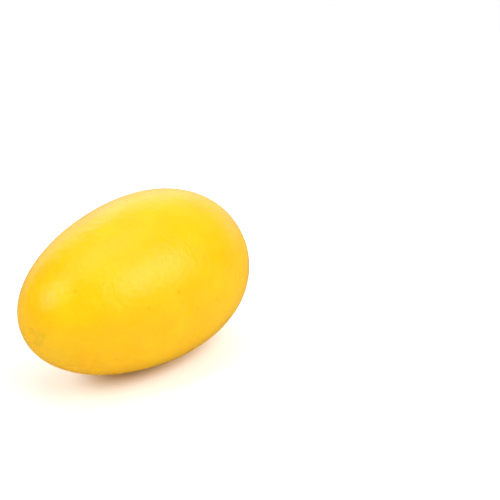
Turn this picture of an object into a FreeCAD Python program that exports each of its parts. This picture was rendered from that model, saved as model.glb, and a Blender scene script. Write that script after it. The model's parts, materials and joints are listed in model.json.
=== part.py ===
# Egg shaker: a wooden egg, bored from its blunt end, with a dowel plug glued in
# behind a charge of loose steel shot. Millimetres, +Z up.
#
# The egg lies on its side. Its long axis is along X with the blunt end towards +X,
# and it touches the ground at the origin, straight below its widest station.

import FreeCAD, Part
import math
import os
import Sketcher

PARTS = "parts"

# Every size that can be set by itself: name, value, what it is.
SIZES = [
    ("belly_diameter", 40.0, "across the egg at its widest station"),
    ("point_reach", 36.5, "widest station to the tip of the pointed end"),
    ("point_shoulder", 15.5, "how far the belly runs on level towards the pointed end"),
    ("point_cap", 13.1, "how far the pointed end opens square to the axis"),
    ("blunt_reach", 26.3, "widest station to the tip of the blunt end"),
    ("blunt_cap", 10.9, "how far the blunt end opens square to the axis"),
    ("bore_diameter", 20.0, "drill that hollows the egg from its blunt end"),
    ("drill_angle", 118.0, "angle of the drill's point, in degrees"),
    ("chamber_length", 40.0, "full-width bore between the plug and the drill's point"),
    ("plug_length", 9.0, "dowel plug along the axis, its domed end included"),
    ("plug_bevel", 0.8, "lead-in bevel round the plug's inner end"),
    ("glue_gap", 0.05, "gap all round the plug, filled with glue"),
    ("shot_diameter", 4.0, "one steel ball"),
    ("shot_gap", 0.15, "room from ball to ball, and from ball to chamber wall"),
]

# Rows of shot along the chamber, numbered from its middle line.
SHOT_ROWS = (-1, 0, 1)

# Sizes that follow from the driving ones, as expressions over the sheet.
BELLY_RADIUS = "sizes.belly_diameter / 2"
BORE_RADIUS = "sizes.bore_diameter / 2"
BLUNT_SHOULDER = (
    "sizes.point_shoulder * sqrt((sizes.belly_diameter / 2 - sizes.blunt_cap)"
    " / (sizes.belly_diameter / 2 - sizes.point_cap))"
)
PLUG_FACE = "(sizes.blunt_reach - sizes.plug_length)"
CHAMBER_END = "(sizes.blunt_reach - sizes.plug_length - sizes.chamber_length)"
DRILL_POINT = "(sizes.bore_diameter / 2 / tan(sizes.drill_angle / 2 * 1 deg))"
SHOT_PITCH = "(sizes.shot_diameter + sizes.shot_gap)"
SHOT_TRACK = "((sizes.bore_diameter - sizes.shot_diameter) / 2 - sizes.shot_gap)"
FIRST_SHOT = f"({PLUG_FACE} - sizes.shot_gap - sizes.shot_diameter / 2)"

# How far the bore and the dowel run on past the blunt end before they are cut to the egg.
OVERRUN = "sizes.plug_length"

# Turns a solid that stands along +Z so that it runs along +X.
ALONG_X = FreeCAD.Rotation(FreeCAD.Vector(0, 1, 0), 90)

# How a sketch numbers the points of a line or circle, and its own axes.
START, END, CENTRE = 1, 2, 3
X_AXIS, Y_AXIS = -1, -2
ORIGIN = (X_AXIS, START)


def make_sheet(doc):
    """The spreadsheet of driving dimensions, one alias a row."""
    sheet = doc.addObject("Spreadsheet::Sheet", "sizes")
    for row, (name, value, meaning) in enumerate(SIZES, start=1):
        sheet.set(f"A{row}", name)
        sheet.set(f"B{row}", str(value))
        sheet.set(f"C{row}", meaning)
        sheet.setAlias(f"B{row}", name)
    doc.recompute()
    return sheet


def origin_plane(body, role):
    """One of a body's own origin planes."""
    return next(item for item in body.Origin.OriginFeatures if item.Role == role)


def new_sketch(body, name, plane):
    """An empty sketch on one of the body's origin planes."""
    sketch = body.newObject("Sketcher::SketchObject", name)
    sketch.AttachmentSupport = [(origin_plane(body, plane), "")]
    sketch.MapMode = "FlatFace"
    return sketch


def drive(sketch, constraint, name, expression):
    """Adds a dimension to a sketch, named and bound to the sheet."""
    index = sketch.addConstraint(constraint)
    sketch.renameConstraint(index, name)
    sketch.setExpression(f"Constraints.{name}", expression)


def add_curve(sketch, poles):
    """A Bezier curve with the given poles; returns the index of its first pole's handle."""
    points = [FreeCAD.Vector(x, y, 0) for x, y in poles]
    end_knots = [0, 1]
    end_repeats = [len(poles), len(poles)]
    closed = False
    spline = Part.BSplineCurve()
    spline.buildFromPolesMultsKnots(points, end_repeats, end_knots, closed, len(poles) - 1)
    curve = sketch.addGeometry(spline, False)
    first_handle = sketch.GeometryCount
    sketch.exposeInternalGeometry(curve)
    return first_handle


def fix_across(sketch, handle, name, expression, behind=False):
    """Dimensions a handle along the axis from the widest station, ahead of it or behind it."""
    centre = sketch.Geometry[handle].Center
    ends = (handle, CENTRE, *ORIGIN) if behind else (*ORIGIN, handle, CENTRE)
    drive(sketch, Sketcher.Constraint("DistanceX", *ends, abs(centre.x)), name, expression)


def fix_height(sketch, handle, name, expression):
    """Dimensions a handle's height above the axis."""
    centre = sketch.Geometry[handle].Center
    drive(sketch, Sketcher.Constraint("DistanceY", *ORIGIN, handle, CENTRE, centre.y), name, expression)


def draw_outline(sketch, sheet):
    """Half the egg's outline over its axis: one curve each way from the widest station.

    Both curves leave the belly level and equally bent, and meet the axis square.
    """
    belly = sheet.belly_diameter / 2
    blunt_shoulder = sheet.point_shoulder * math.sqrt((belly - sheet.blunt_cap) / (belly - sheet.point_cap))
    tip = (-sheet.point_reach, 0)
    end = (sheet.blunt_reach, 0)
    axis = sketch.addGeometry(Part.LineSegment(FreeCAD.Vector(*tip, 0), FreeCAD.Vector(*end, 0)), False)
    point = add_curve(sketch, [tip, (tip[0], sheet.point_cap), (-sheet.point_shoulder, belly), (0, belly)])
    blunt = add_curve(sketch, [(0, belly), (blunt_shoulder, belly), (end[0], sheet.blunt_cap), end])

    # Each curve has four handles in a row, and the two curves meet on the belly.
    point_tip, point_cap, point_shoulder, belly_top = range(point, point + 4)
    blunt_start, blunt_shoulder_end, blunt_cap, blunt_tip = range(blunt, blunt + 4)

    # The two tips lie on the axis, and the widest station over the origin.
    for tip_handle in (point_tip, blunt_tip):
        sketch.addConstraint(Sketcher.Constraint("PointOnObject", tip_handle, CENTRE, X_AXIS))
    sketch.addConstraint(Sketcher.Constraint("PointOnObject", belly_top, CENTRE, Y_AXIS))
    sketch.addConstraint(Sketcher.Constraint("Coincident", blunt_start, CENTRE, belly_top, CENTRE))
    sketch.addConstraint(Sketcher.Constraint("Coincident", axis, START, point_tip, CENTRE))
    sketch.addConstraint(Sketcher.Constraint("Coincident", axis, END, blunt_tip, CENTRE))
    sketch.addConstraint(Sketcher.Constraint("Vertical", point_tip, CENTRE, point_cap, CENTRE))
    sketch.addConstraint(Sketcher.Constraint("Vertical", blunt_tip, CENTRE, blunt_cap, CENTRE))
    sketch.addConstraint(Sketcher.Constraint("Horizontal", point_shoulder, CENTRE, belly_top, CENTRE))
    sketch.addConstraint(Sketcher.Constraint("Horizontal", blunt_start, CENTRE, blunt_shoulder_end, CENTRE))

    fix_height(sketch, belly_top, "belly", BELLY_RADIUS)
    fix_across(sketch, point_tip, "point_reach", "sizes.point_reach", behind=True)
    fix_height(sketch, point_cap, "point_cap", "sizes.point_cap")
    fix_across(sketch, point_shoulder, "point_shoulder", "sizes.point_shoulder", behind=True)
    fix_across(sketch, blunt_shoulder_end, "blunt_shoulder", BLUNT_SHOULDER)
    fix_height(sketch, blunt_cap, "blunt_cap", "sizes.blunt_cap")
    fix_across(sketch, blunt_tip, "blunt_reach", "sizes.blunt_reach")


def make_blank(doc, sheet):
    """The egg as it comes off the lathe, still solid, its axis one radius off the ground."""
    blank = doc.addObject("PartDesign::Body", "egg_blank")
    outline = new_sketch(blank, "outline", "XY_Plane")
    draw_outline(outline, sheet)
    turned = blank.newObject("PartDesign::Revolution", "turned_egg")
    turned.Profile = (outline, [""])
    turned.ReferenceAxis = (outline, ["H_Axis"])
    turned.Angle = 360
    outline.Visibility = False
    blank.setExpression("Placement.Base.z", BELLY_RADIUS)
    return blank


def make_bore(doc):
    """What the drill takes out: the straight bore, run out past the blunt end, and its point."""
    straight = doc.addObject("Part::Cylinder", "bore_straight")
    straight.Placement.Rotation = ALONG_X
    straight.setExpression("Radius", BORE_RADIUS)
    straight.setExpression("Height", f"sizes.chamber_length + sizes.plug_length + {OVERRUN}")
    straight.setExpression("Placement.Base.x", CHAMBER_END)
    straight.setExpression("Placement.Base.z", BELLY_RADIUS)

    point = doc.addObject("Part::Cone", "bore_point")
    point.Placement.Rotation = ALONG_X
    point.Radius1 = 0
    point.setExpression("Radius2", BORE_RADIUS)
    point.setExpression("Height", DRILL_POINT)
    point.setExpression("Placement.Base.x", f"{CHAMBER_END} - {DRILL_POINT}")
    point.setExpression("Placement.Base.z", BELLY_RADIUS)

    bore = doc.addObject("Part::Fuse", "bore")
    bore.Base = straight
    bore.Tool = point
    return bore


def add_circle(sketch, name, expression):
    """A circle on the sketch's origin whose radius is bound to the sheet."""
    circle = sketch.addGeometry(Part.Circle(), False)
    drive(sketch, Sketcher.Constraint("Radius", circle, 1), name, expression)
    sketch.addConstraint(Sketcher.Constraint("Coincident", circle, CENTRE, *ORIGIN))


def make_dowel(doc):
    """The plug before it is sanded flush: a length of dowel with its inner end bevelled."""
    dowel = doc.addObject("PartDesign::Body", "dowel")
    section = new_sketch(dowel, "section", "YZ_Plane")
    add_circle(section, "dowel_radius", f"{BORE_RADIUS} - sizes.glue_gap")
    length = dowel.newObject("PartDesign::Pad", "length")
    length.Profile = (section, [""])
    length.setExpression("Length", f"sizes.plug_length + {OVERRUN}")
    doc.recompute()
    inner_rim = min(length.Shape.Edges, key=lambda edge: (edge.CenterOfMass.x, -edge.Length))
    rim_name = f"Edge{1 + [edge.isSame(inner_rim) for edge in length.Shape.Edges].index(True)}"
    bevel = dowel.newObject("PartDesign::Chamfer", "bevel")
    bevel.Base = (length, [rim_name])
    bevel.setExpression("Size", "sizes.plug_bevel")
    dowel.setExpression("Placement.Base.x", PLUG_FACE)
    dowel.setExpression("Placement.Base.z", BELLY_RADIUS)
    return dowel


def make_egg_body(doc, blank, bore):
    """The turned egg with the shot chamber and the plug's seat bored in it."""
    egg = doc.addObject("Part::Cut", "egg_body")
    egg.Base = blank
    egg.Tool = bore
    return egg


def make_end_plug(doc, blank, dowel):
    """The dowel sanded down to the egg's own surface."""
    plug = doc.addObject("Part::Common", "end_plug")
    plug.Base = dowel
    plug.Tool = blank
    return plug


def shot_columns(sheet):
    """How many balls lie one behind another in the chamber."""
    room = sheet.chamber_length - sheet.shot_gap
    return int(room / (sheet.shot_diameter + sheet.shot_gap))


def make_shot(doc, sheet):
    """The steel balls, one layer deep along the bottom of the chamber."""
    balls = []
    for column in range(shot_columns(sheet)):
        for row in SHOT_ROWS:
            ball = doc.addObject("Part::Sphere", f"shot_{len(balls) + 1:02d}")
            ball.setExpression("Radius", "sizes.shot_diameter / 2")
            across = f"({row} * {SHOT_PITCH})"
            drop = f"sqrt({SHOT_TRACK} ^ 2 - {across} ^ 2)"
            ball.setExpression("Placement.Base.x", f"{FIRST_SHOT} - {SHOT_PITCH} * {column}")
            ball.setExpression("Placement.Base.y", across)
            ball.setExpression("Placement.Base.z", f"{BELLY_RADIUS} - {drop}")
            balls.append(ball)
    return balls


def check_document(doc, pieces):
    """Stops on anything that failed to build, or a piece that isn't one sound solid."""
    for item in doc.Objects:
        if "Invalid" in item.State or "Error" in item.State:
            raise RuntimeError(f"{item.Label} did not build: {item.State}")
    for piece in pieces:
        shape = piece.Shape
        if shape.isNull() or not shape.isValid() or len(shape.Solids) != 1:
            raise RuntimeError(f"{piece.Label} is not one sound solid")


def write_pieces(pieces):
    """One STEP file a piece, named for it."""
    os.makedirs(PARTS, exist_ok=True)
    for piece in pieces:
        piece.Shape.exportStep(f"{PARTS}/{piece.Label}.step")
        print(f"{piece.Label}: {piece.Shape.Volume:.1f} mm3")


def main():
    doc = FreeCAD.newDocument("egg_shaker")
    sheet = make_sheet(doc)
    blank = make_blank(doc, sheet)
    egg = make_egg_body(doc, blank, make_bore(doc))
    plug = make_end_plug(doc, blank, make_dowel(doc))
    pieces = [egg, plug] + make_shot(doc, sheet)
    doc.recompute()
    check_document(doc, pieces)
    write_pieces(pieces)


main()
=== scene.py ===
# %% [markdown]
# # A painted wooden egg shaker
#
# The real thing is an egg turned from one piece of hardwood, drilled out from its blunt
# end, filled with loose steel shot and closed with a glued dowel. It is then sanded as one
# and dipped in yellow enamel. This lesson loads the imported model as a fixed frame, and
# builds every piece again with a finer surface than the frame's plain solids.

# %% Load the frame
import json
import math

import bmesh
import bpy
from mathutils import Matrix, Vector


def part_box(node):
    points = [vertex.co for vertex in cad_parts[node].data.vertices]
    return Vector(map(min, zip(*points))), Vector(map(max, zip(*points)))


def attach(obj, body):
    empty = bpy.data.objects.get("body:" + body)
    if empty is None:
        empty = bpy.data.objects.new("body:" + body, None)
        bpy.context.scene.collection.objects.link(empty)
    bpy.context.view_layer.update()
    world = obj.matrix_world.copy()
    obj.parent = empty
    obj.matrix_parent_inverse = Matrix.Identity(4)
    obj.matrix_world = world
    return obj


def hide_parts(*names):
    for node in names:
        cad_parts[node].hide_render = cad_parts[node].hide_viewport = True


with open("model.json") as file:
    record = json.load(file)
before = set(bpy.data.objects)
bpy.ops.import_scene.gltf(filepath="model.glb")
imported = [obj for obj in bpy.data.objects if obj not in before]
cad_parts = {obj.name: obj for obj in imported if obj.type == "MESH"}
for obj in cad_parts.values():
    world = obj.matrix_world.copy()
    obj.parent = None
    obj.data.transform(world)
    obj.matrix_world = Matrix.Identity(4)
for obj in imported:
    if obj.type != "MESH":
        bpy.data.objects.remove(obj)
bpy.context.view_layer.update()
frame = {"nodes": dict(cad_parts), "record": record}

# %% [markdown]
# Every place comes from the frame. The mounts give the ground point and the top of the
# belly, and the boxes of the two wooden nodes give the tips of the egg and the plug.
# A few sizes can't be read from a box, such as the handles of the outline's curves. They
# are named here once, in metres. The two shoulders are the lengths of the level handles
# on the belly, and the second follows from the first, so that the outline bends equally
# on both sides of the belly.

# %% Sizes
MILLIMETRE = 0.001
mounts = {mount["name"]: Vector(mount["pos_m"]) for mount in frame["record"]["mounts"]}
BELLY_RADIUS = (mounts["palm_grip"].z - mounts["rest_point"].z) / 2
AXIS = Vector((0, 0, mounts["rest_point"].z + BELLY_RADIUS))
POINT_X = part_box("egg_body")[0].x
BLUNT_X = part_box("end_plug")[1].x
PLUG_FACE_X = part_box("end_plug")[0].x
PLUG_RADIUS = (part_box("end_plug")[1].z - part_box("end_plug")[0].z) / 2
GLUE_GAP = 0.00005
TOUCHING = GLUE_GAP / 10
BORE_RADIUS = PLUG_RADIUS + GLUE_GAP
CHAMBER_LENGTH = 0.040
DRILL_ANGLE = math.radians(118)
PLUG_BEVEL = 0.0008
POINT_SHOULDER = 0.0155
POINT_CAP = 0.0131
BLUNT_CAP = 0.0109
EQUAL_BEND = math.sqrt((BELLY_RADIUS - BLUNT_CAP) / (BELLY_RADIUS - POINT_CAP))
BLUNT_SHOULDER = POINT_SHOULDER * EQUAL_BEND
length, width = BLUNT_X - POINT_X, 2 * BELLY_RADIUS
print(f"egg {length / MILLIMETRE:.1f} mm long, {width / MILLIMETRE:.1f} mm across")

# %% [markdown]
# Operators act on everything that is selected, and loading the frame leaves its nodes
# selected. So each step starts with nothing selected but the piece it works on.


# %% Selection helpers
def only(piece):
    """Selects one piece alone and makes it active."""
    bpy.ops.object.select_all(action="DESELECT")
    piece.select_set(True)
    bpy.context.view_layer.objects.active = piece


def pick(piece, wanted, kind="verts"):
    """In edit mode, selects the vertices, edges or faces that wanted() says yes to."""
    bpy.ops.mesh.select_mode(type={"verts": "VERT", "edges": "EDGE", "faces": "FACE"}[kind])
    bpy.ops.mesh.select_all(action="DESELECT")
    mesh = bmesh.from_edit_mesh(piece.data)
    for element in getattr(mesh, kind):
        if wanted(element):
            element.select_set(True)
    mesh.select_flush_mode()
    bmesh.update_edit_mesh(piece.data)


def off_axis(point):
    """How far a point is from the egg's long axis."""
    return math.hypot(point.y - AXIS.y, point.z - AXIS.z)


# %% [markdown]
# ## The outline
# An egg could start from a sphere that is pulled longer at one end, but its ends would
# never be quite round. A turner works to a template, and so does this: half the outline is
# a Bezier curve with three points, which is turned into a chain of edges and spun round
# the axis. The middle point sits on the belly, and its handles are level, so the two ends
# meet there without a ridge.

# %% Draw the outline
OUTLINE_STEPS = 100


def draw_outline(name):
    """Half the egg's outline above its axis, as a chain of edges."""
    bpy.ops.object.select_all(action="DESELECT")
    bpy.ops.curve.primitive_bezier_curve_add()
    curve = bpy.context.object
    curve.name = name
    bpy.ops.object.mode_set(mode="EDIT")
    bpy.ops.curve.select_all(action="SELECT")
    bpy.ops.curve.subdivide(number_cuts=1)
    bpy.ops.object.mode_set(mode="OBJECT")
    top = AXIS.z + BELLY_RADIUS
    knots = [
        ((POINT_X, AXIS.z), (POINT_X, AXIS.z - POINT_CAP), (POINT_X, AXIS.z + POINT_CAP)),
        ((0, top), (-POINT_SHOULDER, top), (BLUNT_SHOULDER, top)),
        ((BLUNT_X, AXIS.z), (BLUNT_X, AXIS.z + BLUNT_CAP), (BLUNT_X, AXIS.z - BLUNT_CAP)),
    ]
    for point, (middle, before, after) in zip(curve.data.splines[0].bezier_points, knots):
        point.handle_left_type = point.handle_right_type = "FREE"
        point.co = (middle[0], 0, middle[1])
        point.handle_left = (before[0], 0, before[1])
        point.handle_right = (after[0], 0, after[1])
    curve.data.resolution_u = OUTLINE_STEPS
    only(curve)
    bpy.ops.object.convert(target="MESH")
    return bpy.context.object


egg = draw_outline("turned_egg")
plug = draw_outline("sanded_plug")
print("outline points:", len(egg.data.vertices))

# %% [markdown]
# ## The mark of the lathe
# The blank was held between two centres while it was turned. The plug took away the mark
# at the blunt end, but the pointed end keeps a small dimple, half filled with paint. The
# outline is made finer there first. Its last point is then pushed in with proportional
# editing, which carries the points near it along and leaves a soft rim.

# %% Push in the dimple
CENTRE_MARK_RADIUS = 0.0013
CENTRE_MARK_DEPTH = 0.00022
CENTRE_MARK_CUTS = 3


def is_tip(vert):
    """The one vertex at the very end of the point."""
    return vert.co.x < POINT_X + TOUCHING


def near_tip(edge):
    """An edge that the dimple will reach."""
    return all(vert.co.x < 0 and off_axis(vert.co) < CENTRE_MARK_RADIUS for vert in edge.verts)


def push_in(move, radius):
    """Moves what is selected, and carries the points within a radius along softly."""
    bpy.ops.transform.translate(
        value=move,
        use_proportional_edit=True,
        proportional_edit_falloff="SMOOTH",
        proportional_size=radius,
    )


only(egg)
bpy.ops.object.mode_set(mode="EDIT")
pick(egg, near_tip, "edges")
bpy.ops.mesh.subdivide(number_cuts=CENTRE_MARK_CUTS)
pick(egg, is_tip)
push_in((CENTRE_MARK_DEPTH, 0, 0), CENTRE_MARK_RADIUS)
bpy.ops.object.mode_set(mode="OBJECT")
shorter = min(vert.co.x for vert in egg.data.vertices) - POINT_X
print(f"the dimple makes the egg {shorter / MILLIMETRE:.3f} mm shorter")

# %% [markdown]
# ## Drill the egg, cut the plug
# The egg keeps the outline up to the mouth of the bore. From there the chain of edges is
# extruded along the bore's wall, and then down the cone that the drill's point leaves.
# The plug keeps the rest of the outline, and is extruded back to its flat inner end. Each
# chain is spun into a closed shell. Spinning a drawn section gives clean rings of faces,
# where a boolean would leave slivers round the mouth.

# %% Section of the egg and of the plug
SPIN_STEPS = 340


def cut_outline(piece, radius, inside):
    """Keeps the outline outside a radius at the blunt end, or only what is inside it."""
    only(piece)
    bpy.ops.object.mode_set(mode="EDIT")
    pick(piece, lambda vert: vert.co.x > 0)
    bpy.ops.mesh.bisect(
        plane_co=(0, 0, AXIS.z + radius),
        plane_no=(0, 0, 1),
        clear_inner=not inside,
        clear_outer=inside,
    )
    if inside:
        pick(piece, lambda vert: vert.co.x <= 0 or off_axis(vert.co) > radius + GLUE_GAP)
        bpy.ops.mesh.delete(type="VERT")


def extrude_to(piece, point, place):
    """Extrudes one loose end of the chain to a new place."""
    pick(piece, lambda vert: (vert.co - point).length < TOUCHING)
    bpy.ops.mesh.extrude_region_move(TRANSFORM_OT_translate={"value": place - point})
    return place


def spin_round_axis():
    """Spins the chain that is edited round the egg's axis and closes the seam and the poles."""
    bpy.ops.mesh.select_all(action="SELECT")
    bpy.ops.mesh.spin(steps=SPIN_STEPS, angle=math.tau, center=AXIS, axis=(1, 0, 0))
    bpy.ops.mesh.select_all(action="SELECT")
    bpy.ops.mesh.remove_doubles(threshold=TOUCHING / 2)
    bpy.ops.mesh.normals_make_consistent(inside=False)
    bpy.ops.object.mode_set(mode="OBJECT")


def loose_end(piece):
    """The end of the chain at the mouth of the bore."""
    mesh = bmesh.from_edit_mesh(piece.data)
    ends = [vert.co.copy() for vert in mesh.verts if len(vert.link_edges) == 1 and vert.co.x > 0]
    return max(ends, key=off_axis)


cut_outline(egg, BORE_RADIUS, inside=False)
mouth = loose_end(egg)
chamber_end = Vector((PLUG_FACE_X - CHAMBER_LENGTH, 0, mouth.z))
drill_point = Vector((chamber_end.x - BORE_RADIUS / math.tan(DRILL_ANGLE / 2), 0, AXIS.z))
seat_end = extrude_to(egg, mouth, Vector((PLUG_FACE_X, 0, mouth.z)))
extrude_to(egg, seat_end, chamber_end)
extrude_to(egg, chamber_end, drill_point)
spin_round_axis()

cut_outline(plug, PLUG_RADIUS, inside=True)
rim = loose_end(plug)
bevel_start = extrude_to(plug, rim, Vector((PLUG_FACE_X + PLUG_BEVEL, 0, rim.z)))
bevel_end = extrude_to(plug, bevel_start, Vector((PLUG_FACE_X, 0, rim.z - PLUG_BEVEL)))
extrude_to(plug, bevel_end, Vector((PLUG_FACE_X, 0, AXIS.z)))
spin_round_axis()
for piece in (egg, plug):
    print(piece.name, len(piece.data.vertices), "vertices", len(piece.data.polygons), "faces")

# %% [markdown]
# ## The joint under the paint
# A glued dowel is sanded flush, but its glue line still sinks a little as the wood dries,
# and shows through the paint as a fine ring. So the sharp rim of the bore and the sharp
# rim of the plug each get a small bevel, and the two meet in a shallow groove.

# %% Ease the two rims
RIM_BEVEL = 0.00012
RIM_SEGMENTS = 2


def on_rim(vert, radius, lowest_x):
    """A vertex at a radius from the axis, and past a place along it."""
    return vert.co.x > lowest_x and abs(off_axis(vert.co) - radius) < 2 * TOUCHING


def ease_rim(piece, radius, lowest_x):
    """Bevels the sharp ring of edges at one radius, next to the outer skin."""
    only(piece)
    bpy.ops.object.mode_set(mode="EDIT")
    pick(piece, lambda edge: all(on_rim(vert, radius, lowest_x) for vert in edge.verts), "edges")
    bpy.ops.mesh.bevel(offset=RIM_BEVEL, segments=RIM_SEGMENTS, affect="EDGES")
    bpy.ops.object.mode_set(mode="OBJECT")


ease_rim(egg, BORE_RADIUS, mouth.x - GLUE_GAP)
ease_rim(plug, PLUG_RADIUS, rim.x - GLUE_GAP)
print(f"the joint is a ring {2 * PLUG_RADIUS / MILLIMETRE:.1f} mm across")

# %% [markdown]
# ## Handmade unevenness
# Wood that is sanded by hand is never quite true: its skin waves by a few hundredths of a
# millimetre, which only shows as a slight wobble in the highlights. A Displace modifier
# with a soft cloud texture gives the waves. It is held to the outer skin by a vertex
# group, so the bore stays round, and both pieces use one texture, so the waves run on over
# the joint.

# %% Wave the outer skin
WAVE_SIZE = 0.011
WAVE_HEIGHT = 0.00007
RIM_MARGIN = 3 * RIM_BEVEL
waves = bpy.data.textures.new("hand_sanded_waves", "CLOUDS")
waves.noise_scale = WAVE_SIZE
waves.noise_depth = 1


def on_egg_skin(vert):
    """Outside the bore, or in front of its far end."""
    return off_axis(vert.co) > BORE_RADIUS + RIM_MARGIN or vert.co.x < drill_point.x - GLUE_GAP


def on_plug_skin(vert):
    """On the plug's domed end."""
    return vert.co.x > rim.x + GLUE_GAP and off_axis(vert.co) < PLUG_RADIUS - RIM_MARGIN


def wave_skin(piece, on_skin):
    """Raises and lowers a piece's outer skin by the waves."""
    only(piece)
    bpy.ops.object.vertex_group_add()
    bpy.ops.object.mode_set(mode="EDIT")
    pick(piece, on_skin)
    bpy.ops.object.vertex_group_assign()
    bpy.ops.object.mode_set(mode="OBJECT")
    bpy.ops.object.modifier_add(type="DISPLACE")
    displace = piece.modifiers[-1]
    displace.texture = waves
    displace.strength = WAVE_HEIGHT
    displace.vertex_group = piece.vertex_groups[0].name
    bpy.ops.object.modifier_apply(modifier=displace.name)
    piece.vertex_groups.clear()


wave_skin(egg, on_egg_skin)
wave_skin(plug, on_plug_skin)
print(f"waves {WAVE_SIZE / MILLIMETRE:.0f} mm long, {WAVE_HEIGHT / MILLIMETRE:.2f} mm high")

# %% [markdown]
# ## Dents
# A shaker is dropped and knocked about, and each knock leaves a shallow dent, a millimetre
# or so across. They could be part of a bump texture, but a few that are listed one by
# one, and really pushed into the mesh, catch the light as the real ones do. Each is one
# vertex that is moved inwards, and its neighbours follow.

# %% Knock in the dents
# Each dent: place along the axis, angle round the axis from the top, radius and depth.
DENTS = [
    (-0.0294, -37, 0.00065, 0.00005),
    (-0.0245, -46, 0.00055, 0.00004),
    (-0.0175, -77, 0.00065, 0.00005),
    (-0.0055, -90, 0.00060, 0.00005),
    (-0.0096, -74, 0.00070, 0.00004),
    (0.0062, 152, 0.00080, 0.00006),
    (-0.0140, 118, 0.00065, 0.00005),
    (0.0125, 64, 0.00060, 0.00005),
]


def skin_vertex(piece, along, angle):
    """The vertex of the outer skin nearest to a place along and round the axis."""
    middle = AXIS + Vector((along, 0, 0))
    around = Vector((0, math.sin(math.radians(angle)), math.cos(math.radians(angle))))
    outer = [vert for vert in piece.data.vertices if off_axis(vert.co) > BORE_RADIUS + RIM_BEVEL]
    return min(outer, key=lambda vert: (vert.co - middle - around * off_axis(vert.co)).length)


for along, angle, radius, depth in DENTS:
    vert = skin_vertex(egg, along, angle)
    place, inwards = vert.co.copy(), -vert.normal.copy()
    only(egg)
    bpy.ops.object.mode_set(mode="EDIT")
    pick(egg, lambda vert: (vert.co - place).length < TOUCHING)
    push_in(inwards * depth, radius)
    bpy.ops.object.mode_set(mode="OBJECT")
print(len(DENTS), "dents knocked in")

# %% [markdown]
# ## Smooth and sharp
# The skin is a net of flat faces, and smooth shading makes it look round. The corners
# inside, such as the plug's bevel and the foot of the drill's cone, stay crisp, because
# any edge that turns by more than the given angle is kept sharp.

# %% Smooth shading
SHARP_ANGLE = math.radians(30)
for piece in (egg, plug):
    only(piece)
    bpy.ops.object.shade_smooth_by_angle(angle=SHARP_ANGLE)
    print(piece.name, len(piece.data.vertices), "vertices", len(piece.data.polygons), "faces")

# %% [markdown]
# ## Helpers for materials
# A material is a graph of nodes. One helper adds a node and fills its sockets, with a
# number, or with another node's output, which it links. A Mix node has sockets for
# numbers, vectors and colours under the same names, so its colour ones are found by their
# places.

# %% Node helpers
COLOUR_A = 6
COLOUR_B = 7
COLOUR_RESULT = 2


def add(tree, kind, values=(), **settings):
    """Adds a shader node, sets its properties, and fills its input sockets in order or by name."""
    node = tree.nodes.new("ShaderNode" + kind)
    for name, value in settings.items():
        setattr(node, name, value)
    for socket, value in values.items() if isinstance(values, dict) else enumerate(values):
        if isinstance(value, bpy.types.NodeSocket):
            tree.links.new(value, node.inputs[socket])
        elif value is not None:
            node.inputs[socket].default_value = value
    return node


def math_node(tree, operation, *values, clamp=False):
    """A Math node's result."""
    return add(tree, "Math", values, operation=operation, use_clamp=clamp).outputs[0]


def vector_node(tree, operation, *values):
    """A Vector Math node, whose first output is a vector and second a number."""
    return add(tree, "VectorMath", values, operation=operation).outputs


def fade(tree, value, low, high, to_low=0.0, to_high=1.0):
    """Goes softly from one number to another while a value goes from low to high."""
    limits = (value, low, high, to_low, to_high)
    return add(tree, "MapRange", limits, interpolation_type="SMOOTHSTEP").outputs[0]


def mix_colour(tree, share, first, second):
    """Mixes two colours by a share from 0 to 1."""
    node = add(tree, "Mix", {"Factor": share}, data_type="RGBA")
    for socket, value in ((node.inputs[COLOUR_A], first), (node.inputs[COLOUR_B], second)):
        if isinstance(value, bpy.types.NodeSocket):
            tree.links.new(value, socket)
        else:
            socket.default_value = (*value, 1)
    return node.outputs[COLOUR_RESULT]


# %% [markdown]
# An effect that several materials share is a node group, with named inputs and one output.
# It is built once, and each material then places it with values of its own.


# %% Group helpers
def new_group(name, output, **inputs):
    """Starts a node group with a Vector, named numbers and one output; gives it and its inputs."""
    tree = bpy.data.node_groups.new(name, "ShaderNodeTree")
    tree.interface.new_socket("Vector", in_out="INPUT", socket_type="NodeSocketVector")
    for label, value in inputs.items():
        socket = tree.interface.new_socket(label, in_out="INPUT", socket_type="NodeSocketFloat")
        socket.default_value = value
    tree.interface.new_socket(output, in_out="OUTPUT", socket_type="NodeSocketFloat")
    return tree, tree.nodes.new("NodeGroupInput").outputs


def end_group(tree, result):
    """Links a group's result to its output."""
    tree.links.new(result, tree.nodes.new("NodeGroupOutput").inputs[0])
    print("node group", tree.name, "has", len(tree.nodes), "nodes")


def use_group(tree, group, vector, **values):
    """Places a group in a material and gives its output."""
    node = tree.nodes.new("ShaderNodeGroup")
    node.node_tree = group
    tree.links.new(vector, node.inputs["Vector"])
    for label, value in values.items():
        node.inputs[label].default_value = value
    return node.outputs[0]


# %% [markdown]
# ## Growth rings
# A tree's rings are shells round its pith. The blank was sawn off to one side of the
# pith, so on the egg they show as long ovals and bands. The group measures the distance
# from a pith line that runs along the egg, and disturbs it with a slow noise, because no
# tree grows quite round or straight. In each ring the dark late wood comes on slowly and
# ends at once. The bare wood uses it for colour. Under the paint it only lifts the surface
# by a hundredth of a millimetre here and there.

# %% Growth rings group
NOISE_DETAIL = 2.0
PITH = (0, 0.031, AXIS.z + 0.017)
RING_WANDER = 0.0045
WANDERS_PER_METRE = (36, 110, 110)
LATE_WOOD_STARTS = 0.35
LATE_WOOD_PEAKS = 0.80

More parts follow.
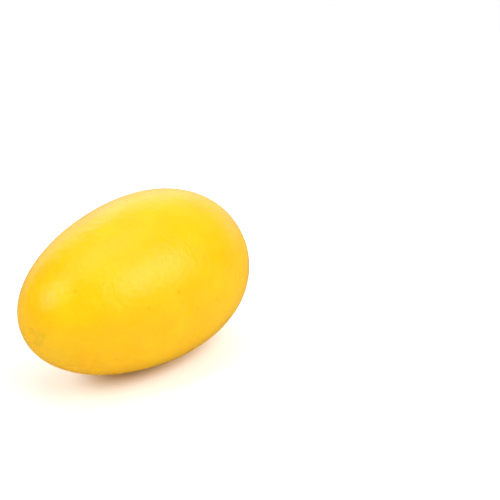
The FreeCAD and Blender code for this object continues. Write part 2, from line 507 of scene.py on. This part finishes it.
growth_rings, given = new_group("growth_rings", "Late Wood", Spacing=0.0018)
slow = vector_node(growth_rings, "MULTIPLY", given["Vector"], WANDERS_PER_METRE)[0]
wander = {"Vector": slow, "Scale": 1.0, "Detail": NOISE_DETAIL}
noise = add(growth_rings, "TexNoise", wander).outputs["Fac"]
across = vector_node(growth_rings, "SUBTRACT", given["Vector"], PITH)[0]
across = vector_node(growth_rings, "MULTIPLY", across, (0, 1, 1))[0]
distance = vector_node(growth_rings, "LENGTH", across)[1]
distance = math_node(growth_rings, "MULTIPLY_ADD", noise, RING_WANDER, distance)
turns = math_node(growth_rings, "DIVIDE", distance, given["Spacing"])
age = math_node(growth_rings, "FRACT", turns)
rise = fade(growth_rings, age, LATE_WOOD_STARTS, LATE_WOOD_PEAKS)
fall = fade(growth_rings, age, LATE_WOOD_PEAKS, 1.0, 1.0, 0.0)
end_group(growth_rings, math_node(growth_rings, "MULTIPLY", rise, fall))

# %% [markdown]
# ## Sanding marks
# The egg was sanded while it turned on the lathe, so the scratches run round it, short and
# broken. A noise stretched round the axis gives them. It is laid out by two measures that
# have no seam: how far round the end-to-end profile a point lies, as an angle at the
# egg's middle, and its direction from the axis.

# %% Sanding marks group
MEAN_RADIUS = 0.02

sanding_marks, given = new_group("sanding_marks", "Marks", Spacing=0.0004, Length=0.004)
centred = vector_node(sanding_marks, "SUBTRACT", given["Vector"], AXIS)[0]
across = vector_node(sanding_marks, "MULTIPLY", centred, (0, 1, 1))[0]
radius = vector_node(sanding_marks, "LENGTH", across)[1]
along = add(sanding_marks, "SeparateXYZ", (centred,)).outputs["X"]
profile = math_node(sanding_marks, "ARCTAN2", radius, along)
profile = math_node(sanding_marks, "MULTIPLY", profile, MEAN_RADIUS)
profile = math_node(sanding_marks, "DIVIDE", profile, given["Spacing"])
stretch = math_node(sanding_marks, "DIVIDE", MEAN_RADIUS, given["Length"])
around = vector_node(sanding_marks, "NORMALIZE", across)[0]
stretched = {0: around, "Scale": stretch}
around = add(sanding_marks, "VectorMath", stretched, operation="SCALE").outputs[0]
ladder = add(sanding_marks, "CombineXYZ", (profile, 0.0, 0.0)).outputs[0]
lane = vector_node(sanding_marks, "ADD", around, ladder)[0]
streaks = {"Vector": lane, "Scale": 1.0, "Detail": NOISE_DETAIL}
marks = add(sanding_marks, "TexNoise", streaks).outputs["Fac"]
end_group(sanding_marks, marks)

# %% [markdown]
# ## Stray scratches
# Handling and hand sanding leave other scratches, that lie in any direction. This group
# stretches a noise along one slanting direction. Wherever that direction lies in the
# surface it shows as fine hatching, and elsewhere it breaks up into dots.

# %% Stray scratches group
scratch_inputs = {"Turn": 0.6, "Tilt": 0.4, "Spacing": 0.0004, "Length": 0.004}
stray_scratches, given = new_group("stray_scratches", "Marks", **scratch_inputs)
angles = add(stray_scratches, "CombineXYZ", (0.0, given["Tilt"], given["Turn"])).outputs[0]
facing = {"Vector": given["Vector"], "Rotation": angles}
turned = add(stray_scratches, "VectorRotate", facing, rotation_type="EULER_XYZ").outputs[0]
long_way = math_node(stray_scratches, "DIVIDE", 1.0, given["Length"])
short_way = math_node(stray_scratches, "DIVIDE", 1.0, given["Spacing"])
scale = add(stray_scratches, "CombineXYZ", (long_way, short_way, short_way)).outputs[0]
lane = vector_node(stray_scratches, "MULTIPLY", turned, scale)[0]
streaks = {"Vector": lane, "Scale": 1.0, "Detail": NOISE_DETAIL}
marks = add(stray_scratches, "TexNoise", streaks).outputs["Fac"]
end_group(stray_scratches, marks)

# %% [markdown]
# ## Pinholes
# Open pores in the wood make tiny craters in the paint. A Voronoi texture scatters one
# point in each cell, and its random colour picks out which cells get a hole.

# %% Pinholes group
HOLE_FLOOR = 0.35

pinholes, given = new_group("pinholes", "Mask", Spacing=0.004, Size=0.0002, Share=0.3)
scale = math_node(pinholes, "DIVIDE", 1.0, given["Spacing"])
scaled = {0: given["Vector"], "Scale": scale}
near = add(pinholes, "VectorMath", scaled, operation="SCALE").outputs[0]
cells = add(pinholes, "TexVoronoi", {"Vector": near, "Scale": 1.0})
reach = math_node(pinholes, "MULTIPLY", cells.outputs["Distance"], given["Spacing"])
reach = math_node(pinholes, "DIVIDE", reach, given["Size"])
hole = fade(pinholes, reach, HOLE_FLOOR, 1.0, 1.0, 0.0)
lot = add(pinholes, "SeparateColor", (cells.outputs["Color"],)).outputs[0]
picked = math_node(pinholes, "LESS_THAN", lot, given["Share"])
end_group(pinholes, math_node(pinholes, "MULTIPLY", hole, picked))

# %% [markdown]
# ## Helpers for the finishes
# Each finish below starts in the same way, and is built up from soft blotches, spots and
# layers of height. These helpers keep that short.

# %% Helpers for the finishes
FINE_DETAIL = 3.0
SPOT_CORE = 0.3


def new_material(name):
    """A node material, its tree, its shader and the Object coordinates."""
    material = bpy.data.materials.new(name)
    material.use_nodes = True
    tree = material.node_tree
    place = add(tree, "TexCoord").outputs["Object"]
    return material, tree, tree.nodes["Principled BSDF"], place


def noise_at(tree, place, size, detail=NOISE_DETAIL):
    """A noise whose blotches are about one size across."""
    noise = {"Vector": place, "Scale": 1 / size, "Detail": detail}
    return add(tree, "TexNoise", noise).outputs["Fac"]


def blotches(tree, place, size, low, high, detail=NOISE_DETAIL):
    """Soft blotches: 0 where a noise is below low, and 1 where it is above high."""
    return fade(tree, noise_at(tree, place, size, detail), low, high)


def spot(tree, place, centre, radius):
    """A soft spot: 1 at its centre and 0 at its radius."""
    gap = vector_node(tree, "DISTANCE", place, centre)[1]
    return fade(tree, gap, radius * SPOT_CORE, radius, 1.0, 0.0)


def strongest(tree, masks):
    """At each place, the largest of several masks."""
    result = masks[0]
    for mask in masks[1:]:
        result = math_node(tree, "MAXIMUM", result, mask)
    return result


def total(tree, layers, base=0.0):
    """Adds up layers of (strength, mask) on a base value."""
    result = base
    for strength, layer in layers:
        result = math_node(tree, "MULTIPLY_ADD", layer, strength, result)
    return result


def bump(tree, shader, height):
    """Feeds a height in millimetres to the shader's normal."""
    node = add(tree, "Bump", {"Strength": 1.0, "Distance": MILLIMETRE, "Height": height})
    tree.links.new(node.outputs[0], shader.inputs["Normal"])


# %% [markdown]
# ## Yellow enamel
# The paint is a warm yellow with a soft gloss. It isn't one colour: thin patches are a
# little lighter and thick ones a little deeper. The gloss is broken by the sanding marks,
# the pores and the grain that show through it. Wet paint runs down and gathers on the
# underside, where it hides these marks. The names that end in PATCHES give the size of a
# blotch and the two noise levels between which it comes on.

# %% Enamel settings
PAINT_ROUGHNESS = 0.19
PAINT_SPECULAR = 0.24
UNDERSIDE = (0.003, 0.016)
UNDERSIDE_RELIEF = 0.35
RING_WIDTH = 0.0017
GRAIN_PATCHES = (0.012, 0.42, 0.62)
SANDED_PATCHES = (0.005, 0.35, 0.65)
MOTTLE_SIZE = 0.008
PEEL_SIZE = 0.0009
FINE_MARKS = {"Spacing": 0.0009, "Length": 0.0040}
COARSE_MARKS = {"Spacing": 0.0018, "Length": 0.0070}
HATCH_UP = {"Turn": 0.9, "Tilt": 0.5, **FINE_MARKS}
HATCH_DOWN = {"Turn": -0.7, "Tilt": 0.8, **FINE_MARKS}
PAINT_PORES = {"Spacing": 0.0045, "Size": 0.00028, "Share": 0.25}
print("the enamel's marks are", FINE_MARKS["Length"] / MILLIMETRE, "mm long or more")

# %% [markdown]
# Each layer of the relief is listed with its height in millimetres, and the heights add up
# to one height for the Bump node. The layers that change the gloss are listed in the same
# way, with what each adds to the roughness.

# %% Enamel relief
enamel, tree, shader, place = new_material("yellow_enamel")
rings = use_group(tree, growth_rings, place, Spacing=RING_WIDTH)
grain = math_node(tree, "MULTIPLY", rings, blotches(tree, place, *GRAIN_PATCHES))
fine = use_group(tree, sanding_marks, place, **FINE_MARKS)
coarse = use_group(tree, sanding_marks, place, **COARSE_MARKS)
hatch_up = use_group(tree, stray_scratches, place, **HATCH_UP)
hatch_down = use_group(tree, stray_scratches, place, **HATCH_DOWN)
holes = use_group(tree, pinholes, place, **PAINT_PORES)
mottle = noise_at(tree, place, MOTTLE_SIZE, FINE_DETAIL)
patches = blotches(tree, place, *SANDED_PATCHES)
marks = math_node(tree, "MULTIPLY", fine, patches)
peel = noise_at(tree, place, PEEL_SIZE)

dullness = [(0.05, fine), (0.12, mottle), (0.06, patches)]
tree.links.new(total(tree, dullness, PAINT_ROUGHNESS), shader.inputs["Roughness"])
shader.inputs["Specular IOR Level"].default_value = PAINT_SPECULAR

relief = [
    (0.014, grain),
    (0.140, marks),
    (0.030, coarse),
    (0.080, hatch_up),
    (0.080, hatch_down),
    (0.040, peel),
    (-0.060, holes),
]
above_floor = add(tree, "SeparateXYZ", (place,)).outputs["Z"]
shown_relief = fade(tree, above_floor, *UNDERSIDE, UNDERSIDE_RELIEF, 1.0)
bump(tree, shader, math_node(tree, "MULTIPLY", total(tree, relief), shown_relief))
print("the paint's relief has", len(relief), "layers")

# %% [markdown]
# ## Dirt in the paint
# Dirt has settled in the dents, the pores and the dimple, so the paint darkens there. The
# pointed end also has a short grey smudge, where it is knocked and rubbed the most. The
# dents' places come from the same list that made them, so colour and shape agree.

# %% Enamel colour
PAINT_LIGHT = (1.0, 0.57, 0.002)
PAINT_DEEP = (1.0, 0.53, 0.0)
DEEP_TO_LIGHT = (0.3, 0.7)
PAINT_DIRT = (0.40, 0.29, 0.0)
PAINT_SMUDGE = (0.50, 0.41, 0.005)
DENT_DIRT = 0.28
PORE_DIRT = 0.5
DIMPLE_DIRT = 0.05
SMUDGE_SHARE = 0.30
SMUDGE_RADIUS = 0.0017
SMUDGE_PATCHES = (0.0009, 0.30, 0.55)
# The smudge runs through these places, measured from the tip.
SMUDGE_RUN = [(0.0004, -0.0030, 0.0002), (0.0003, -0.0023, -0.0009), (0.0003, -0.0015, -0.0021)]

tip = Vector((POINT_X, 0, AXIS.z))
dents = [
    spot(tree, place, skin_vertex(egg, along, angle).co, radius)
    for along, angle, radius, depth in DENTS
]
dimple = spot(tree, place, tip, CENTRE_MARK_RADIUS)
rubs = [spot(tree, place, tip + Vector(step), SMUDGE_RADIUS) for step in SMUDGE_RUN]
smudge = strongest(tree, rubs)
smudge = math_node(tree, "MULTIPLY", smudge, blotches(tree, place, *SMUDGE_PATCHES, FINE_DETAIL))
dirt = [
    math_node(tree, "MULTIPLY", strongest(tree, dents), DENT_DIRT),
    math_node(tree, "MULTIPLY", holes, PORE_DIRT),
    math_node(tree, "MULTIPLY", dimple, DIMPLE_DIRT),
]
colour = mix_colour(tree, fade(tree, mottle, *DEEP_TO_LIGHT), PAINT_DEEP, PAINT_LIGHT)
colour = mix_colour(tree, math_node(tree, "MULTIPLY", smudge, SMUDGE_SHARE), colour, PAINT_SMUDGE)
colour = mix_colour(tree, strongest(tree, dirt), colour, PAINT_DIRT)
tree.links.new(colour, shader.inputs["Base Color"])
print("the paint has", len(tree.nodes), "nodes")

# %% [markdown]
# ## Bare wood
# Inside, the wood is bare: pale maple with brown late wood, fine fibres along the grain
# and the rings that the drill left. The bore's wall, its cone and the dowel's side and
# inner end get it as a second material slot, picked by place in edit mode.

# %% Bare wood material
WOOD_LIGHT = (0.66, 0.45, 0.25)
WOOD_DARK = (0.42, 0.24, 0.11)
WOOD_FIBRE = (0.30, 0.17, 0.08)
FIBRES_PER_METRE = (260, 4200, 4200)
FIBRES_SHOW = (0.5, 0.75)
FIBRE_SHARE = 0.45
FIBRES_DULL = (0.2, 0.8)
WOOD_ROUGHNESS = (0.55, 0.80)
WOOD_PORES = {"Spacing": 0.0007, "Size": 0.00012, "Share": 0.5}
PORE_SHARE = 0.5
DRILL_MARKS = {"Spacing": 0.0003, "Length": 0.02}

bare_wood, tree, shader, place = new_material("bare_maple")
rings = use_group(tree, growth_rings, place, Spacing=RING_WIDTH)
grain_run = vector_node(tree, "MULTIPLY", place, FIBRES_PER_METRE)[0]
fibres = noise_at(tree, grain_run, 1.0, FINE_DETAIL)
pores = use_group(tree, pinholes, place, **WOOD_PORES)
drilled = use_group(tree, sanding_marks, place, **DRILL_MARKS)
colour = mix_colour(tree, rings, WOOD_LIGHT, WOOD_DARK)
shown_fibres = fade(tree, fibres, *FIBRES_SHOW, 0.0, FIBRE_SHARE)
colour = mix_colour(tree, shown_fibres, colour, WOOD_FIBRE)
colour = mix_colour(tree, math_node(tree, "MULTIPLY", pores, PORE_SHARE), colour, WOOD_FIBRE)
tree.links.new(colour, shader.inputs["Base Color"])
tree.links.new(fade(tree, fibres, *FIBRES_DULL, *WOOD_ROUGHNESS), shader.inputs["Roughness"])
wood_relief = [(0.02, fibres), (0.03, drilled), (-0.05, pores), (0.01, rings)]
bump(tree, shader, total(tree, wood_relief))
print("the bare wood has", len(tree.nodes), "nodes")

# %% [markdown]
# ## Paint outside, wood inside
# One piece can carry two materials, each in a slot, and every face names its slot. All
# faces start in the first slot, the paint. Those that the drill or the saw left bare are
# selected by their place and assigned to the second. Each piece is then tied to the body
# it rides on, and the plain node it stands for is hidden.

# %% Dress the two wooden pieces
WALL_MARGIN = GLUE_GAP / 5


def dress(piece, on_skin, node):
    """Paint outside, bare wood inside, then ties the piece to the frame."""
    piece.data.materials.clear()
    piece.data.materials.append(enamel)
    piece.data.materials.append(bare_wood)
    only(piece)
    bpy.ops.object.mode_set(mode="EDIT")
    pick(piece, lambda face: not on_skin(face), "faces")
    piece.active_material_index = 1
    bpy.ops.object.material_slot_assign()
    bpy.ops.object.mode_set(mode="OBJECT")
    bare = sum(face.material_index for face in piece.data.polygons)
    print(piece.name, bare, "bare faces of", len(piece.data.polygons))
    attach(piece, "egg")
    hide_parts(node)


def painted_egg_face(face):
    """Outside the bore, or in front of its far end."""
    middle = face.calc_center_median()
    return off_axis(middle) > BORE_RADIUS + WALL_MARGIN or middle.x < drill_point.x - GLUE_GAP


def painted_plug_face(face):
    """On the plug's domed end, its eased rim included."""
    return face.calc_center_median().x > rim.x - RIM_BEVEL


dress(egg, painted_egg_face, "egg_body")
dress(plug, painted_plug_face, "end_plug")

# %% [markdown]
# ## Steel shot
# The balls rattle against wood and each other, so their polish is dulled by tiny dings
# and a thin brown film.

# %% Steel shot material
STEEL_BRIGHT = (0.60, 0.60, 0.59)
STEEL_DULL = (0.40, 0.37, 0.33)
STEEL_ROUGHNESS = 0.12
FILM_PATCHES = (0.0016, 0.40, 0.68)
DINGS = {"Spacing": 0.0006, "Size": 0.00016, "Share": 0.45}
SCUFFS = {"Turn": 1.1, "Tilt": 0.3, "Spacing": 0.00012, "Length": 0.0012}

steel, tree, shader, place = new_material("tumbled_steel")
film = blotches(tree, place, *FILM_PATCHES, FINE_DETAIL)
dings = use_group(tree, pinholes, place, **DINGS)
scuffs = use_group(tree, stray_scratches, place, **SCUFFS)
colour = mix_colour(tree, film, STEEL_BRIGHT, STEEL_DULL)
tree.links.new(colour, shader.inputs["Base Color"])
shader.inputs["Metallic"].default_value = 1.0
steel_dullness = [(0.25, film), (0.12, scuffs)]
tree.links.new(total(tree, steel_dullness, STEEL_ROUGHNESS), shader.inputs["Roughness"])
steel_relief = [(0.004, scuffs), (-0.010, dings)]
bump(tree, shader, total(tree, steel_relief))
print("the steel has", len(tree.nodes), "nodes")

# %% [markdown]
# One ball is modelled and then copied to the place of each plain one. It starts as an
# icosphere, whose faces are even all over, with no pinched poles. Each knock against the
# others leaves a shallow flat, and a spiral of equal turns spreads those over the ball.

# %% Model one ball
BALL_DETAIL = 5
FLATS = 14
FLAT_RADIUS = 0.0007
FLAT_DEPTH = 0.000025
SPIRAL_TURN = math.radians(137.5)

shot = [name for name in frame["nodes"] if name.startswith("shot_")]
low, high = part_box(shot[0])
BALL_RADIUS = (high.z - low.z) / 2
bpy.ops.object.select_all(action="DESELECT")
bpy.ops.mesh.primitive_ico_sphere_add(subdivisions=BALL_DETAIL, radius=BALL_RADIUS)
first_ball = bpy.context.object
for flat in range(FLATS):
    height = 1 - (2 * flat + 1) / FLATS
    level = math.sqrt(1 - height * height)
    turn = flat * SPIRAL_TURN
    outwards = Vector((level * math.cos(turn), level * math.sin(turn), height))
    place = max(first_ball.data.vertices, key=lambda vert: vert.co.dot(outwards)).co.copy()
    bpy.ops.object.mode_set(mode="EDIT")
    pick(first_ball, lambda vert: (vert.co - place).length < TOUCHING)
    push_in(-outwards * FLAT_DEPTH, FLAT_RADIUS)
    bpy.ops.object.mode_set(mode="OBJECT")
bpy.ops.object.shade_smooth()
first_ball.data.materials.append(steel)
print(f"one ball, {2 * BALL_RADIUS / MILLIMETRE:.1f} mm across, with {FLATS} flats")

# %% [markdown]
# Each copy has its own mesh. It is turned by another angle, so that no two balls show the
# same flats, and rides on its own body, because each ball moves by itself. Its place is
# then applied, which puts its origin at the frame's, so each ball cuts the film and the
# dings at another place.

# %% Copy it to each place
SIDE_TURN = 1.0

for count, name in enumerate(shot):
    low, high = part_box(name)
    only(first_ball)
    bpy.ops.object.duplicate()
    ball = bpy.context.object
    ball.name = "steel_" + name
    ball.location = (low + high) / 2
    ball.rotation_euler = (count * SPIRAL_TURN, 0, count * SIDE_TURN)
    bpy.ops.object.transform_apply(location=True, rotation=True, scale=False)
    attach(ball, name)
    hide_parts(name)
only(first_ball)
bpy.ops.object.delete()
print(len(shot), "steel balls")

# %% [markdown]
# ## The camera
# It looks down a little and across the egg's side, from its pointed end. Its direction is
# worked out from an azimuth and an elevation, and it backs off from the aim point by its
# distance.

# %% Camera
CAMERA_AZIMUTH = math.radians(-50.5)
CAMERA_ELEVATION = math.radians(23.75)
CAMERA_DISTANCE = 0.2884
CAMERA_LENS = 83.6
SENSOR_WIDTH = 36
AIM = Vector((0.02715, -0.00823, AXIS.z))
UP = Vector((0, 0, 1))

ahead = Vector((-math.sin(CAMERA_AZIMUTH), math.cos(CAMERA_AZIMUTH), 0))
look = ahead * math.cos(CAMERA_ELEVATION) - UP * math.sin(CAMERA_ELEVATION)
bpy.ops.object.camera_add(location=AIM - look * CAMERA_DISTANCE)
camera = bpy.context.object
camera.name = "studio_camera"
camera.rotation_euler = look.to_track_quat("-Z", "Y").to_euler()
camera.data.lens = CAMERA_LENS
camera.data.sensor_width = SENSOR_WIDTH
bpy.context.scene.camera = camera
print(f"the camera stands {CAMERA_DISTANCE / MILLIMETRE:.0f} mm from its aim point")

# %% [markdown]
# ## The floor
# The floor is plain white and matt. In the paint's gloss it is painted darker than it is, a
# painted reflection: a Light Path node tells the camera's own rays from those that reflections
# send out, and gives the reflections a darker floor colour.

# %% Lay the floor
FLOOR_SIZE = 0.7
FLOOR_WHITE = 0.90
FLOOR_PAINTED_IN_GLOSS = 0.25


def seen(tree, *kinds):
    """1 for the named kinds of ray, 0 for the rest."""
    path = add(tree, "LightPath").outputs
    return strongest(tree, [path[f"Is {kind} Ray"] for kind in kinds])


bpy.ops.object.select_all(action="DESELECT")
bpy.ops.mesh.primitive_plane_add(size=FLOOR_SIZE, location=mounts["rest_point"])
floor = bpy.context.object
floor.name = "floor"
white, tree, shader, place = new_material("studio_white")
shader.inputs["Roughness"].default_value = 1.0
shader.inputs["Specular IOR Level"].default_value = 0.0
# Painted shade in the reflection: reflections see a darker floor colour than the camera does.
painted_reflection_darkening = FLOOR_PAINTED_IN_GLOSS - FLOOR_WHITE
shade = math_node(tree, "MULTIPLY_ADD", seen(tree, "Glossy"), painted_reflection_darkening, FLOOR_WHITE)
tree.links.new(shade, shader.inputs["Base Color"])
print(f"the floor is {FLOOR_SIZE:.1f} m wide")

# %% [markdown]
# What the camera sees of the floor should go over into pure white without an edge. So
# away from the egg the floor also glows a little, but only for the camera's rays and for
# those that pass through something clear, and it puts no light on the egg. Near the egg
# the glow is painted light: it starts a few millimetres out from the egg's footprint and
# lifts the outer part of its shadow. Close to the egg it is painted warm, a painted bounce
# of the yellow paint, and past the pointed end it is weaker, which paints shade there. The
# egg's footprint is about twice as long as it is wide, so distances along the egg count half.

# %% Make it glow
FOOTPRINT_STRETCH = (0.5, 1, 1)
# The glow near the egg is painted light that lifts the outer part of the egg's shadow. Its warm
# colour is painted bounce light, and its weaker share past the pointed end is painted shade.
GLOW = 0.35
GLOW_REACH = (0.004, 0.0135)
PAINTED_BOUNCE_COLOUR = (1.0, 0.35, 0.0)
PAINTED_BOUNCE_REACH = (0.006, 0.0115)
PAINTED_SHADE_END = (-0.030, -0.012)
PAINTED_SHADE_GLOW = 0.6

oval = vector_node(tree, "MULTIPLY", place, FOOTPRINT_STRETCH)[0]
outwards = vector_node(tree, "LENGTH", oval)[1]
# Painted bounce light: the glow is warm next to the egg.
painted_bounce = mix_colour(tree, fade(tree, outwards, *PAINTED_BOUNCE_REACH), PAINTED_BOUNCE_COLOUR, (1, 1, 1))
tree.links.new(painted_bounce, shader.inputs["Emission Color"])
along = add(tree, "SeparateXYZ", (place,)).outputs["X"]
# Painted shade: the glow is weaker past the pointed end.
painted_shade_past_point = fade(tree, along, *PAINTED_SHADE_END, PAINTED_SHADE_GLOW, 1.0)
glow = math_node(tree, "MULTIPLY", fade(tree, outwards, *GLOW_REACH, 0.0, GLOW), painted_shade_past_point)
glow = math_node(tree, "MULTIPLY", glow, seen(tree, "Camera", "Transmission"))
tree.links.new(glow, shader.inputs["Emission Strength"])
floor.data.materials.append(white)
print("the floor has", len(tree.nodes), "nodes")

# %% [markdown]
# ## The room
# The world is the room round the stage. It lights the egg softly from everywhere, and the
# camera sees it as plain white. The gloss of the paint sees a white backdrop behind the
# egg and a dimmer room elsewhere, which gives the egg its pale upper rim and keeps its
# sides deep.

# %% Room
ROOM_LIGHT = 0.27
ROOM_REFLECTED = 0.33
BACKDROP_REFLECTED = 1.05
BACKDROP_EDGE = (0.45, 0.80)

world = bpy.data.worlds.new("studio")
bpy.context.scene.world = world
world.use_nodes = True
tree = world.node_tree
background = tree.nodes["Background"]
background.inputs["Color"].default_value = (1, 1, 1, 1)
direction = add(tree, "TexCoord").outputs["Generated"]
behind = vector_node(tree, "DOT_PRODUCT", direction, ahead)[1]
extra_light = (ROOM_REFLECTED - ROOM_LIGHT, BACKDROP_REFLECTED - ROOM_LIGHT)
reflected = fade(tree, behind, *BACKDROP_EDGE, *extra_light)
reflected = math_node(tree, "MULTIPLY", reflected, seen(tree, "Glossy"))
shown = math_node(tree, "MULTIPLY", seen(tree, "Camera", "Transmission"), 1.0 - ROOM_LIGHT)
strength = math_node(tree, "ADD", math_node(tree, "MAXIMUM", reflected, shown), ROOM_LIGHT)
tree.links.new(strength, background.inputs["Strength"])
print("the room has", len(tree.nodes), "nodes")

# %% [markdown]
# ## Softboxes
# A softbox is a lamp behind a sheet of white cloth. One stands on each side of the camera
# and makes a highlight on the egg, a wide one hangs overhead, and two weak ones stand
# behind. Each is a rectangular area lamp. The light that reaches the egg follows from how
# bright its cloth looks and how large it is, so that is how each is described. Real cloth
# is brightest in its middle, so a node lowers the lamp's strength towards its edges, and
# the highlights get soft edges too. The lamps themselves stay out of the picture.

# %% Softboxes
LAMP_DISTANCE = 1.5
CLOTH_CENTRE = (0.5, 0.5, 0)
CLOTH_FADES = (0.10, 0.55)
CLOTH_MIDDLE = 1.7
CLOTH_EDGE = 0.35
# Each softbox: azimuth from straight behind the egg towards the right, elevation, width,
# height and how bright its cloth is.
SOFTBOXES = {
    "softbox_right": (115, 37, 1.38, 1.34, 3.0),
    "softbox_left": (-120, 42, 1.02, 1.02, 3.8),
    "softbox_overhead": (0, 88, 1.80, 1.80, 1.20),
    "softbox_behind": (-5, 25, 1.10, 1.00, 0.55),
    "softbox_back_left": (-30, 30, 0.80, 0.80, 0.60),
}
sideways = ahead.cross(UP)


def softbox(name, azimuth, elevation, width, height, brightness):
    """A rectangular area lamp that faces the egg."""
    azimuth, elevation = math.radians(azimuth), math.radians(elevation)
    level = ahead * math.cos(azimuth) + sideways * math.sin(azimuth)
    direction = level * math.cos(elevation) + UP * math.sin(elevation)
    bpy.ops.object.light_add(type="AREA", location=AXIS + direction * LAMP_DISTANCE)
    lamp = bpy.context.object
    lamp.name = name
    lamp.rotation_euler = (-direction).to_track_quat("-Z", "Y").to_euler()
    lamp.data.shape = "RECTANGLE"
    lamp.data.size = width
    lamp.data.size_y = height
    lamp.data.energy = math.pi * width * height * brightness
    lamp.visible_camera = False
    return lamp


def soften_cloth(lamp):
    """Makes a softbox brightest in its middle."""
    lamp.data.use_nodes = True
    tree = lamp.data.node_tree
    place = add(tree, "NewGeometry").outputs["Parametric"]
    from_middle = vector_node(tree, "DISTANCE", place, CLOTH_CENTRE)[1]
    strength = fade(tree, from_middle, *CLOTH_FADES, CLOTH_MIDDLE, CLOTH_EDGE)
    tree.links.new(strength, tree.nodes["Emission"].inputs["Strength"])


for name, settings in SOFTBOXES.items():
    soften_cloth(softbox(name, *settings))
bpy.context.scene.view_settings.view_transform = "Standard"
print(len(SOFTBOXES), "softboxes")
